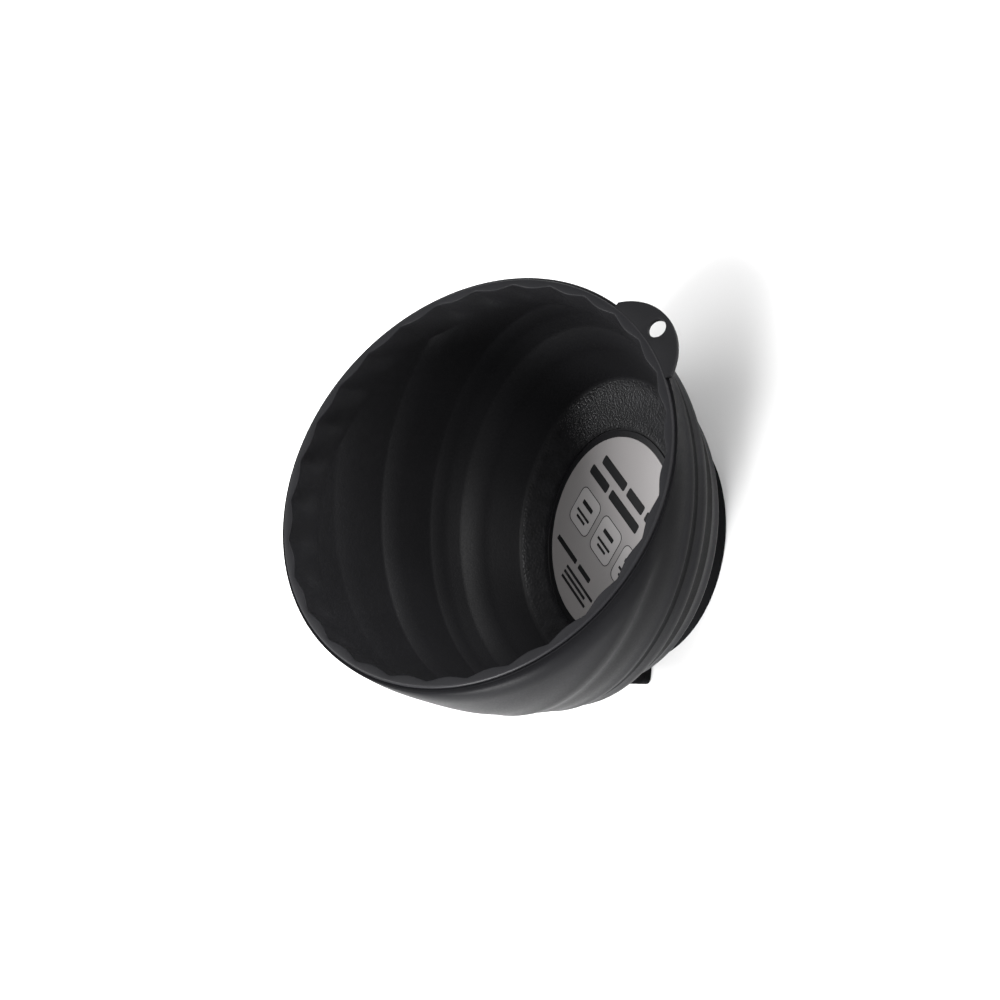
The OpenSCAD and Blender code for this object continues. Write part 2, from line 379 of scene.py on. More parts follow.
class TrayStickerSizes(bpy.types.PropertyGroup):
    """Print and colours of the floor sticker"""

    edge_round: FloatProperty(
        name="Edge Rounding", description="Rounding of the film's upper edge",
        default=0.00008, min=0.00001, max=0.0001, **LENGTH)
    print_turn: FloatProperty(
        name="Print Turn", description="Reading direction of the plain print",
        default=math.radians(-76), subtype="ANGLE")
    print_height: FloatProperty(
        name="Print Height", description="How far the print stands on the film",
        default=0.00003, min=0.00001, max=0.0001, **LENGTH)
    line_width: FloatProperty(
        name="Line Width", description="Width of a panel's outline",
        default=0.00025, min=0.0001, max=0.001, **LENGTH)
    panel_colour: FloatVectorProperty(
        name="Panel", description="Colour of the pale panels in the print",
        default=(0.46, 0.445, 0.445, 1.0), **COLOUR)
    film_colour: FloatVectorProperty(
        name="Film", description="Colour of the silver film",
        default=(0.34, 0.325, 0.325, 1.0), **COLOUR)
    ink_colour: FloatVectorProperty(
        name="Ink", description="Colour of the plain print",
        default=(0.010, 0.010, 0.011, 1.0), **COLOUR)


class TrayStudioSettings(bpy.types.PropertyGroup):
    """Camera, floor and light"""

    camera_place: FloatVectorProperty(
        name="Camera Place", description="Where the camera stands",
        default=(0.47896, -0.44297, 0.51485), size=3, unit="LENGTH", subtype="TRANSLATION")
    camera_turn: FloatVectorProperty(
        name="Camera Turn", description="Turn of the camera",
        default=tuple(math.radians(angle) for angle in (11.342, 54.379, -29.455)), size=3, subtype="EULER")
    lens: FloatProperty(
        name="Lens", description="Focal length of the camera in millimetres",
        default=90.0, min=20.0, max=200.0)
    floor_reach: FloatProperty(
        name="Floor Reach", description="Reach of the floor from its middle to each side",
        default=4.0, min=1.0, max=10.0, **LENGTH)
    floor_colour: FloatVectorProperty(
        name="Floor", description="Colour of the studio floor",
        default=(0.86, 0.86, 0.86, 1.0), **COLOUR)
    world_strength: FloatProperty(
        name="World Light", description="Strength of the white light from all round",
        default=0.25, min=0.0, max=1.0)


# Materials


def shaded(colour, share):
    """The same colour, share times as bright."""
    return [channel * share for channel in colour[:3]]


class Finish:
    """A procedural material on Object coordinates, with the nodes that its maker adds."""

    def __init__(self, name):
        self.material = bpy.data.materials.new(name)
        self.material.use_nodes = True
        self.nodes = self.material.node_tree.nodes
        self.link = self.material.node_tree.links.new
        self.sockets = self.nodes["Principled BSDF"].inputs
        self.place = self.nodes.new("ShaderNodeTexCoord").outputs["Object"]

    def noise(self, size, detail=2.0, roughness=0.5):
        """Noise whose lumps are about size metres across."""
        noise = self.nodes.new("ShaderNodeTexNoise")
        noise.inputs["Scale"].default_value = 1.0 / size
        noise.inputs["Detail"].default_value = detail
        noise.inputs["Roughness"].default_value = roughness
        self.link(self.place, noise.inputs["Vector"])
        return noise.outputs["Fac"]

    def lumps(self, size):
        """Rounded lumps about size metres across."""
        lumps = self.nodes.new("ShaderNodeTexVoronoi")
        lumps.inputs["Scale"].default_value = 1.0 / size
        self.link(self.place, lumps.inputs["Vector"])
        return lumps.outputs["Distance"]

    def ramp(self, value, colour, stops):
        """A colour that changes with value, by (position, shade) stops."""
        ramp = self.nodes.new("ShaderNodeValToRGB")
        elements = ramp.color_ramp.elements
        for position, _ in stops[1:-1]:
            elements.new(position)
        for element, (position, shade) in zip(elements, stops):
            element.position = position
            element.color = (*shaded(colour, shade), 1.0)
        self.link(value, ramp.inputs["Fac"])
        return ramp

    def tint(self, value, colour, spread):
        """A colour that wanders by spread, as a share of itself, with value."""
        ramp = self.ramp(value, colour, ((NOISE_LOW, 1.0 - spread), (NOISE_HIGH, 1.0 + spread)))
        return ramp.outputs["Color"]

    def painted_height_shade(self, colour, painted_bands, top):
        """A colour with painted light and shade that change softly with height, by (height share, shade)
        bands up to top.
        """
        parts = self.nodes.new("ShaderNodeSeparateXYZ")
        height = self.nodes.new("ShaderNodeMapRange")
        height.inputs["From Max"].default_value = top
        self.link(self.place, parts.inputs["Vector"])
        self.link(parts.outputs["Z"], height.inputs["Value"])
        ramp = self.ramp(height.outputs["Result"], colour, painted_bands)
        ramp.color_ramp.interpolation = "EASE"
        return ramp.outputs["Color"]

    def product(self, first, second):
        """Two colours, multiplied."""
        mix = self.nodes.new("ShaderNodeMixRGB")
        mix.blend_type = "MULTIPLY"
        mix.inputs["Fac"].default_value = 1.0
        self.link(first, mix.inputs["Color1"])
        self.link(second, mix.inputs["Color2"])
        return mix.outputs["Color"]

    def paint(self, colour):
        """Gives the surface its colour."""
        self.link(colour, self.sockets["Base Color"])

    def roughen(self, value, low, high):
        """Roughness that wanders between low and high with value."""
        spread = self.nodes.new("ShaderNodeMapRange")
        spread.inputs["From Min"].default_value = NOISE_LOW
        spread.inputs["From Max"].default_value = NOISE_HIGH
        spread.inputs["To Min"].default_value = low
        spread.inputs["To Max"].default_value = high
        self.link(value, spread.inputs["Value"])
        self.link(spread.outputs["Result"], self.sockets["Roughness"])

    def bump(self, height, depth, strength):
        """A bump of depth metres."""
        bump = self.nodes.new("ShaderNodeBump")
        bump.inputs["Distance"].default_value = depth
        bump.inputs["Strength"].default_value = strength
        self.link(height, bump.inputs["Height"])
        self.link(bump.outputs["Normal"], self.sockets["Normal"])


def moulded_plastic(name, colour, roughness, grain_size, grain_depth, specular, painted_bands=None):
    """Charcoal plastic with the fine grain of its mould, and painted highlights and painted shade by height
    where bands are given.
    """
    finish = Finish(name)
    grain = finish.noise(size=grain_size, detail=3.0, roughness=0.6)
    flow = finish.tint(finish.noise(size=FLOW_SIZE), WHITE if painted_bands else colour, spread=0.12)
    finish.paint(finish.product(flow, finish.painted_height_shade(colour, painted_bands, TRAY_TOP)) if painted_bands else flow)
    finish.roughen(grain, low=roughness - GRAIN_ROUGHNESS, high=roughness + GRAIN_ROUGHNESS)
    finish.bump(grain, depth=grain_depth, strength=1.0)
    finish.sockets["Specular IOR Level"].default_value = specular
    return finish.material


def eroded_plastic(name, colour, lump, depth):
    """Plastic from a coarsely eroded mould: small lumps about lump metres across, with bright tips."""
    finish = Finish(name)
    lumps = finish.lumps(size=lump)
    finish.paint(finish.tint(finish.noise(size=0.004, detail=3.0), colour, spread=0.3))
    finish.roughen(lumps, low=0.32, high=0.46)
    finish.bump(lumps, depth=-depth, strength=0.8)
    finish.sockets["Specular IOR Level"].default_value = 0.32
    return finish.material


def boot_rubber(name, colour):
    """Matt black rubber with a faint bloom."""
    finish = Finish(name)
    bloom = finish.noise(size=0.012, detail=4.0)
    finish.paint(finish.tint(bloom, colour, spread=0.25))
    finish.roughen(bloom, low=0.62, high=0.78)
    finish.bump(finish.noise(size=0.0004), depth=0.00002, strength=0.8)
    finish.sockets["Specular IOR Level"].default_value = 0.04
    return finish.material


def silver_film(name, colour):
    """Printed sticker film: silvery, with a fine sparkle."""
    finish = Finish(name)
    sparkle = finish.noise(size=0.00025, detail=1.0)
    finish.paint(finish.tint(sparkle, colour, spread=0.06))
    finish.roughen(finish.noise(size=0.02), low=0.42, high=0.5)
    finish.bump(sparkle, depth=0.000004, strength=0.5)
    finish.sockets["Metallic"].default_value = 0.1
    return finish.material


def print_ink(name, colour):
    """Dark printing ink with a slightly uneven laydown."""
    finish = Finish(name)
    laydown = finish.noise(size=0.0006)
    finish.paint(finish.tint(laydown, colour, spread=0.2))
    finish.roughen(laydown, low=0.5, high=0.6)
    finish.sockets["Specular IOR Level"].default_value = 0.2
    return finish.material


def zinc_steel(name, colour, stroke):
    """Zinc-plated steel, turned: fine strokes and cloudy plating."""
    finish = Finish(name)
    clouds = finish.noise(size=0.004, detail=3.0)
    finish.paint(finish.tint(clouds, colour, spread=0.15))
    finish.roughen(clouds, low=0.28, high=0.42)
    finish.bump(finish.noise(size=stroke), depth=0.000008, strength=0.6)
    finish.sockets["Metallic"].default_value = 1.0
    return finish.material


def ferrite_black(name, colour):
    """Sintered ferrite: dull dark grey with small pits."""
    finish = Finish(name)
    pits = finish.noise(size=0.0008, detail=5.0, roughness=0.7)
    finish.paint(finish.tint(pits, colour, spread=0.3))
    finish.roughen(pits, low=0.5, high=0.7)
    finish.bump(pits, depth=0.00006, strength=0.8)
    finish.sockets["Metallic"].default_value = 0.3
    return finish.material


def floor_paper(name, colour):
    """Pale matt paper."""
    finish = Finish(name)
    finish.paint(finish.tint(finish.noise(size=0.2), colour, spread=0.01))
    finish.sockets["Roughness"].default_value = 0.9
    return finish.material


# Bowl form


class RingTable:
    """Radius of a wall by height, from its rounded section."""

    def __init__(self, section):
        rings = sorted((vert.co.z, vert.co.x) for vert in section.verts)
        self.heights, self.radii = np.array(rings).T
        section.free()

    def radius(self, height):
        """The wall's radius at a height."""
        return np.interp(height, self.heights, self.radii)


class BowlForm:
    """Where the bowl's rings lie: rings lean to the low side and close up under the slanted rim."""

    def __init__(self, sizes):
        self.sizes = sizes
        self.sin, self.cos = math.sin(sizes.rim_tilt), math.cos(sizes.rim_tilt)
        self.rim_top = sizes.rim_height + sizes.rim_radius * self.sin
        self.rim_low = sizes.rim_height - sizes.rim_radius * self.sin
        self.spare_top = self.rim_top + SPARE_HEIGHT
        self.lip_outer = sizes.rim_radius - sizes.lip_inset
        self.lip_inner = self.lip_outer - sizes.lip_width
        self.outer_stops = self.wall_stops(OUTER_RINGS, BASE_TOP, sizes.wall_radius)
        self.inner_stops = self.wall_stops(INNER_RINGS, FLOOR_TOP, sizes.inner_radius)
        self.outer = RingTable(rounded_section(self.outer_stops))
        self.inner = RingTable(rounded_section(self.inner_stops))
        low_radius, high_radius = self.outer.radius(self.rim_low), self.outer.radius(self.rim_top)
        self.rim_x = LEAN * sizes.rim_height + (low_radius - high_radius) / 2

    def wall_stops(self, rings, start, full_radius):
        """Section stops of a wall, with spare rings above the rim's top."""
        stops = [(full_radius * radius_share, start + height_share * (self.rim_top - start), rounding)
                 for height_share, radius_share, rounding in rings]
        return stops + [(stops[-1][0], self.spare_top, 0.0)]

    def rim_matrix(self):
        """From the rim's own frame, with +X to its lowest point, to the tray's frame."""
        turn = Matrix.Rotation(self.sizes.rim_tilt, 4, "Y")
        return Matrix.Translation((self.rim_x, 0.0, self.sizes.rim_height)) @ turn

    def rim_points(self, angle, radius, drop):
        """Points at an angle and radius in the rim's own frame, drop below its plane."""
        across = radius * np.cos(angle)
        return np.stack([self.rim_x + across * self.cos - drop * self.sin,
                         radius * np.sin(angle),
                         self.sizes.rim_height - across * self.sin - drop * self.cos], axis=1)

    def wall_points(self, table, angle, height, side_lean):
        """Points on the leaning rings of a wall."""
        radius = table.radius(height)
        return np.stack([LEAN * height + radius * np.cos(angle),
                         side_lean * height + radius * np.sin(angle), height], axis=1)

    def cap(self, table, angle, drop):
        """Height at which a wall meets the plane that lies drop below the rim."""
        height = np.full_like(angle, self.sizes.rim_height)
        for _ in range(MEET_STEPS):
            across = LEAN * height + table.radius(height) * np.cos(angle) - self.rim_x
            height = self.sizes.rim_height - (drop + across * self.sin) / self.cos
        return height

    def squeeze(self, height, cap):
        """Rings near a cap close up below it and never cross it."""
        room = np.maximum(height - cap + 2 * SOFT_HEIGHT, SOFT_HEIGHT)
        return np.where(height < cap - SOFT_HEIGHT, height, cap - SOFT_HEIGHT ** 2 / room)

    def scoop_push(self, angle):
        """How far a scoop pushes the lip's inner edge out: broad ridges and narrow valleys."""
        pitch = math.tau / self.sizes.scoop_count
        phase = (angle - self.sizes.scoop_turn) / pitch
        ridge = np.cos(math.pi * (phase - np.round(phase)))
        blunt = SCOOP_BLUNTNESS
        return self.sizes.scoop_depth * (1.0 - blunt * ridge - (1.0 - blunt) * ridge ** 2)

    def place_outer(self, angle, radius, height):
        """Outer wall, curving in to the shoulder under the lip, which is its topmost ring."""
        cap = self.cap(self.outer, angle, self.sizes.lip_height)
        ring = self.squeeze(height, cap)
        share = (np.maximum(0.0, SOFT_HEIGHT - cap + ring) / SOFT_HEIGHT) ** 2
        share = np.where(height > self.spare_top - MERGE_DISTANCE, 1.0, share)[:, None]
        wall = self.wall_points(self.outer, angle, ring, SIDE_LEAN)
        shoulder = self.rim_points(angle, self.sizes.rim_radius, self.sizes.lip_height)
        return (1.0 - share) * wall + share * shoulder

    def place_lip(self, angle, radius, height):
        """Lip, in the rim's own frame; its inner edge follows the scoops."""
        sizes = self.sizes
        face = sizes.lip_width - sizes.lip_round - sizes.lip_edge
        share = np.clip((self.lip_outer - sizes.lip_round - radius) / face, 0.0, 1.0)
        return self.rim_points(angle, radius + share * self.scoop_push(angle), -height)

    def place_scoop(self, angle, radius, height):
        """Scoop rows from the lip's inner edge to the inner wall; a row's share is minus its height."""
        sizes = self.sizes
        share = -height[:, None]
        top = self.rim_points(angle, self.lip_inner, 2 * sizes.lip_edge)
        foot = self.place_inner(angle, radius, self.spare_top)
        fade = np.clip((1.0 - share) / (1.0 - SCOOP_FADE), 0.0, 1.0)
        fade = fade * fade * (3.0 - 2.0 * fade)
        outwards = self.rim_points(angle, 1.0, 0.0) - self.rim_points(angle, 0.0, 0.0)
        return (1.0 - share) * top + share * foot + fade * self.scoop_push(angle)[:, None] * outwards

    def place_inner(self, angle, radius, height):
        """Inner wall below the scoops."""
        cap = self.cap(self.inner, angle, self.sizes.scoop_length)
        return self.wall_points(self.inner, angle, self.squeeze(height, cap), 0.0)

    def place_floor(self, angle, radius, height):
        """Floor: the dish's outer edge leans with the wall, and the flat keeps to the base's axis."""
        flat = self.sizes.floor_radius
        share = np.clip((radius - flat) / (self.inner_stops[0][0] - flat), 0.0, 1.0)
        return np.stack([share * LEAN * height + radius * np.cos(angle),
                         radius * np.sin(angle), height], axis=1)

    def place_underside(self, angle, radius, height):
        """Underside: from the screw's bore on the base's axis to the leaning foot of the wall."""
        share = (radius - SCREW_BORE_RADIUS) / (self.outer_stops[0][0] - SCREW_BORE_RADIUS)
        return np.stack([share * LEAN * height + radius * np.cos(angle),
                         share * SIDE_LEAN * height + radius * np.sin(angle), height], axis=1)


# Mesh helpers


def round_off(mesh, geom, offset, segments, affect="EDGES"):
    """Rounds edges, or the corners of a wire or a flat face, to an arc."""
    bmesh.ops.bevel(mesh, geom=geom, offset=offset, offset_type="OFFSET", segments=segments, profile=0.5,
                    affect=affect, material=-1)


def rise(edge):
    """How far an edge climbs."""
    return abs(edge.verts[0].co.z - edge.verts[1].co.z)


def verts_among(items):
    """The vertices among what an operator made."""
    return [item for item in items if isinstance(item, bmesh.types.BMVert)]


def thicken(mesh, height):
    """Extrudes flat faces upwards, or downwards where height is negative."""
    made = bmesh.ops.extrude_face_region(mesh, geom=mesh.faces[:])
    bmesh.ops.translate(mesh, verts=verts_among(made["geom"]), vec=height * UPRIGHT)


def rounded_section(stops, row_length=None):
    """A wire through (radius, height, rounding) stops, its corners rounded and long edges cut into rows."""
    section = bmesh.new()
    corners = [section.verts.new((radius, 0.0, height)) for radius, height, rounding in stops]
    for pair in zip(corners, corners[1:]):
        section.edges.new(pair)
    for corner, (radius, height, rounding) in zip(corners, stops):
        if rounding:
            round_off(section, [corner], rounding, ROUND_STEPS, affect="VERTICES")
    if row_length:
        for edge in section.edges[:]:
            cuts = int(edge.calc_length() / row_length)
            if cuts:
                bmesh.ops.subdivide_edges(section, edges=[edge], cuts=cuts)
    return section


def spin_section(section, sectors, columns, turn=0.0):
    """Spins a section wire over one sector, from turn on, and repeats that sector round the axis."""
    sector = math.tau / sectors
    bmesh.ops.rotate(section, verts=section.verts[:], cent=ORIGIN, matrix=Matrix.Rotation(turn, 3, "Z"))
    wire = section.verts[:] + section.edges[:]
    bmesh.ops.spin(section, geom=wire, cent=ORIGIN, axis=UPRIGHT, angle=sector, steps=columns)
    swept = section.verts[:] + section.edges[:] + section.faces[:]
    bmesh.ops.spin(section, geom=swept, cent=ORIGIN, axis=UPRIGHT, angle=math.tau - sector,
                   steps=sectors - 1, use_duplicate=True)
    return section


def move_rows(rows, place, columns, turn):
    """Moves spun rows to where place puts their column's angle, radius and height."""
    spots = np.array([vert.co for vert in rows.verts])
    step = math.tau / columns
    column = np.round((np.arctan2(spots[:, 1], spots[:, 0]) - turn) / step)
    angle = turn + column * step
    for vert, spot in zip(rows.verts, place(angle, np.hypot(spots[:, 0], spots[:, 1]), spots[:, 2])):
        vert.co = spot


def join_rows(whole, rows, material_index=0):
    """Adds spun rows or another small part to the whole mesh, with its own material."""
    for face in rows.faces:
        face.material_index = material_index
    passing = bpy.data.meshes.new("passing")
    rows.to_mesh(passing)
    whole.from_mesh(passing)
    rows.free()
    bpy.data.meshes.remove(passing)


def close_shell(shell):
    """Merges what meets and turns the faces outwards."""
    bmesh.ops.remove_doubles(shell, verts=shell.verts[:], dist=MERGE_DISTANCE)
    bmesh.ops.recalc_face_normals(shell, faces=shell.faces[:])
    loose = [edge for edge in shell.edges if len(edge.link_faces) != 2]
    if loose:
        raise RuntimeError(f"the shell has {len(loose)} open or crowded edges")


def add_plate(mesh, across, up, width, height, top):
    """Adds a flat plate with rounded corners, sunk by its own height so that only its top stands proud."""
    place = Matrix.Translation((across, up, 0.0)) @ Matrix.Diagonal((width, height, 2 * top, 1.0))
    made = bmesh.ops.create_cube(mesh, size=1.0, matrix=place)
    uprights = {edge for vert in made["verts"] for edge in vert.link_edges if rise(edge) > top}
    round_off(mesh, list(uprights), CORNER_SHARE * min(width, height), EDGE_STEPS)


def add_outline(mesh, across, up, side, line, top):
    """Adds a square outline with rounded corners."""
    outline = bmesh.new()
    bmesh.ops.create_grid(outline, x_segments=1, y_segments=1, size=side / 2 + line,
                          matrix=Matrix.Translation((across, up, -top)))
    round_off(outline, outline.verts[:], CORNER_SHARE * side, OUTLINE_STEPS, affect="VERTICES")
    middle = outline.faces[:]
    bmesh.ops.inset_region(outline, faces=middle, thickness=line, use_boundary=True, use_even_offset=True)
    bmesh.ops.delete(outline, geom=middle, context="FACES_ONLY")
    thicken(outline, 2 * top)
    join_rows(mesh, outline)


def new_piece(name, shell, materials, slot, *nodes):
    """Turns a bmesh into a piece that rides on the tray and stands for its CAD nodes."""
    mesh = bpy.data.meshes.new(name)
    shell.to_mesh(mesh)
    shell.free()
    for material in materials:
        mesh.materials.append(material)
    mesh.shade_smooth()
    mesh.set_sharp_from_angle(angle=SHARP_ANGLE)
    piece = bpy.data.objects.new(name, mesh)
    bpy.context.scene.collection.objects.link(piece)
    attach(piece, BODY)
    if nodes:
        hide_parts(*nodes)
    return piece


# Operators


class TRAY_OT_mould_bowl(bpy.types.Operator):
    """Mould the leaning bowl with its stepped walls, lip, scoops and floor"""

    bl_idname = "tray.mould_bowl"
    bl_label = "Mould Bowl"

    def execute(self, context):
        sizes = context.scene.tray_bowl
        form = BowlForm(sizes)
        columns = sizes.scoop_count * sizes.scoop_columns
        shell = bmesh.new()
        for stops, row_length, place, finish in self.sections(form, sizes):
            rows = spin_section(rounded_section(stops, row_length), sizes.scoop_count, sizes.scoop_columns,
                                sizes.scoop_turn)
            move_rows(rows, place, columns, sizes.scoop_turn)
            join_rows(shell, rows, finish)
        close_shell(shell)
        self.dull_grooves(shell)
        new_piece("bowl_shell", shell, self.finishes(sizes.plastic_colour), "bowl_plastic", "bowl")
        return {"FINISHED"}

    def sections(self, form, sizes):
        """The bowl's skin, from the wall's foot to the underside: stops, row length, place, finish."""
        pocket = WASHER_HIGH.x + FIT_GAP
        groove_out = sizes.groove_radius + sizes.groove_width
        groove_floor = FLOOR_TOP - sizes.groove_depth
        lip = (
            (sizes.rim_radius, -sizes.lip_height, 0.0),
            (form.lip_outer, -sizes.lip_height - sizes.lip_groove, 0.0),
            (form.lip_outer, 0.0, sizes.lip_round),
            (form.lip_inner, 0.0, sizes.lip_edge),
            (form.lip_inner, -2 * sizes.lip_edge, 0.0),
        )
        scoops = [(form.lip_inner, -share, 0.0) for share in SCOOP_ROWS]
        dish = (
            form.inner_stops[0],
            (sizes.floor_radius, FLOOR_TOP, sizes.floor_round),
            (groove_out, FLOOR_TOP, 0.0),
        )
        flat_floor = (
            (groove_out, FLOOR_TOP, 0.0),
            (groove_out, groove_floor, sizes.groove_round),
            (sizes.groove_radius, groove_floor, sizes.groove_round),
            (sizes.groove_radius, FLOOR_TOP, sizes.groove_round),
            (pocket, FLOOR_TOP, 0.0),
            (pocket, WASHER_LOW.z, 0.0),
            (SCREW_BORE_RADIUS, WASHER_LOW.z, 0.0),
            (SCREW_BORE_RADIUS, BASE_TOP, 0.0),
        )
        underside = ((SCREW_BORE_RADIUS, BASE_TOP, 0.0), form.outer_stops[0])
        return (
            (form.outer_stops, ROW_LENGTH, form.place_outer, OUTSIDE),
            (lip, None, form.place_lip, LIP),
            (scoops, None, form.place_scoop, INSIDE),
            (form.inner_stops, ROW_LENGTH, form.place_inner, INSIDE),
            (dish, ROW_LENGTH, form.place_floor, FLOOR_GRAIN),
            (flat_floor, None, form.place_floor, FLOOR_SMOOTH),
            (underside, None, form.place_underside, OUTSIDE),
        )

    def finishes(self, colour):
        """The bowl's materials, in the order of their names in the list of finishes."""
        # The wall's plastic is a darker copy for painted shade, and the lip's a paler copy for painted light
        wall = shaded(colour, WALL_PAINTED_SHADE)
        return (
            # The outer wall and its grooves carry painted highlights and painted shade in bands by height
            moulded_plastic("bowl_outside", wall, roughness=0.42, grain_size=0.0006, grain_depth=0.00003,
                            specular=0.035, painted_bands=WALL_PAINTED_LIGHT),
            moulded_plastic("bowl_lip", shaded(colour, LIP_PAINTED_LIGHT), roughness=0.45, grain_size=0.0004,
                            grain_depth=0.00001, specular=0.12),
            moulded_plastic("bowl_inside", colour, roughness=0.5, grain_size=0.0007, grain_depth=0.00008,
                            specular=0.22),
            eroded_plastic("bowl_floor_grain", colour, lump=0.0008, depth=0.00018),
            moulded_plastic("bowl_floor_smooth", colour, roughness=0.45, grain_size=0.0005,
                            grain_depth=0.00001, specular=0.25),
            moulded_plastic("bowl_groove", wall, roughness=0.55, grain_size=0.0006, grain_depth=0.00003,
                            specular=0.012, painted_bands=WALL_PAINTED_LIGHT),
        )

    def dull_grooves(self, shell):
        """Gives the grooves of the outer wall their matt finish."""
        for face in shell.faces:
            share = face.calc_center_median().z / TRAY_TOP
            if face.material_index == OUTSIDE and any(low < share < high for low, high in MATT_BANDS):
                face.material_index = GROOVE


class TRAY_OT_mould_ear(bpy.types.Operator):
    """Mould the thin hanging ear on the rim's low side"""

    bl_idname = "tray.mould_ear"
    bl_label = "Mould Hanging Ear"

    def execute(self, context):
        bowl, sizes = context.scene.tray_bowl, context.scene.tray_ear
        ear_frame = BowlForm(bowl).rim_matrix() @ Matrix.Rotation(sizes.turn, 4, "Z")
        ear = bmesh.new()
        self.draw_outline(ear, bowl.rim_radius, sizes)
        self.draw_hole(ear, ear_frame, sizes)
        bmesh.ops.triangle_fill(ear, use_beauty=True, edges=ear.edges[:])
        thicken(ear, -sizes.thickness)
        close_shell(ear)
        rims = [edge for edge in ear.edges
                if edge.calc_face_angle() > ROUND_ANGLE and rise(edge) < MERGE_DISTANCE]
        round_off(ear, rims, sizes.edge_round, EDGE_STEPS)
        bmesh.ops.transform(ear, matrix=ear_frame, verts=ear.verts[:])
        plastic = moulded_plastic("ear_plastic", bowl.plastic_colour, roughness=0.5, grain_size=0.0005,
                                  grain_depth=0.00002, specular=0.12)
        new_piece("hanging_ear", ear, (plastic,), "bowl_plastic", "bowl")
        return {"FINISHED"}

    def draw_outline(self, ear, rim_radius, sizes):
        """Draws the ear's round edge, its root along the rim and the two short ends between them."""
        centre = Vector((rim_radius + sizes.reach - sizes.radius, 0.0, -sizes.drop))
        end_radius = rim_radius + sizes.end_height
        root_radius = rim_radius - sizes.root_depth
        cosine = (end_radius ** 2 - centre.x ** 2 - sizes.radius ** 2) / (2 * centre.x * sizes.radius)
        half = math.acos(cosine)
        end = Vector((sizes.radius * math.cos(half), -sizes.radius * math.sin(half), 0.0))
        start = ear.verts.new(centre + end)
        turn = math.atan2(start.co.y, start.co.x)
        root = ear.verts.new((root_radius * math.cos(turn), root_radius * math.sin(turn), -sizes.drop))
        arc = bmesh.ops.spin(ear, geom=[start], cent=centre, axis=UPRIGHT, angle=2 * half, steps=EAR_STEPS)
        inner = bmesh.ops.spin(ear, geom=[root], cent=ORIGIN, axis=UPRIGHT, angle=-2 * turn,
                               steps=ROOT_STEPS)
        ear.edges.new((start, root))
        ear.edges.new([verts_among(made["geom_last"])[0] for made in (arc, inner)])

    def draw_hole(self, ear, ear_frame, sizes):
        """Draws the hanging hole where the record's mount has it."""
        mount = next(mount for mount in frame["record"]["mounts"] if mount["name"] == "hanging_hole")
        centre = ear_frame.inverted() @ Vector(mount["pos_m"])
        centre.z = -sizes.drop
        bmesh.ops.create_circle(ear, segments=HOLE_STEPS, radius=mount["dims"]["r_mm"] / MM_PER_METRE,
                                matrix=Matrix.Translation(centre))


class TRAY_OT_mould_boot(bpy.types.Operator):
    """Mould the rubber boot round the magnet, with its lifting tab"""

    bl_idname = "tray.mould_boot"
    bl_label = "Mould Rubber Boot"

    def execute(self, context):
        sizes = context.scene.tray_base
        cup_radius = PLATE_HIGH.x + FIT_GAP
        section = rounded_section((
            (0.0, 0.0, 0.0),
            (BASE_RADIUS, 0.0, sizes.sole_round),
            (BASE_RADIUS, BASE_TOP, sizes.mouth_round),
            (cup_radius, BASE_TOP, sizes.mouth_round),
            (cup_radius, PLATE_LOW.z, 0.0),
            (0.0, PLATE_LOW.z, 0.0),
        ))
        boot = spin_section(section, *BOOT_SECTORS)
        join_rows(boot, self.lifting_tab(sizes, cup_radius + FIT_GAP))
        close_shell(boot)
        rubber = boot_rubber("boot_rubber", sizes.rubber_colour)
        new_piece("rubber_boot", boot, (rubber,), "base_rubber", "base_boot")
        return {"FINISHED"}

    def lifting_tab(self, sizes, root):
        """A flat tab that starts inside the boot's wall, with rounded corners and edges."""
        tip = BASE_RADIUS + sizes.tab_reach
        tab = bmesh.new()
        bmesh.ops.create_cube(tab, size=1.0)
        bmesh.ops.scale(tab, vec=(tip - root, sizes.tab_width, sizes.tab_thickness), verts=tab.verts[:])
        bmesh.ops.translate(tab, vec=((root + tip) / 2, 0.0, sizes.tab_thickness / 2), verts=tab.verts[:])
        corners = [edge for edge in tab.edges if rise(edge) > MERGE_DISTANCE
                   and all(vert.co.x > tip - MERGE_DISTANCE for vert in edge.verts)]
        round_off(tab, corners, sizes.tab_corner, TAB_STEPS)
        rims = [edge for edge in tab.edges if edge.calc_face_angle() > ROUND_ANGLE]
        round_off(tab, rims, sizes.tab_edge, EDGE_STEPS)
        turn = Matrix.Rotation(sizes.tab_turn, 3, "Z")
        bmesh.ops.rotate(tab, cent=ORIGIN, matrix=turn, verts=tab.verts[:])
        return tab


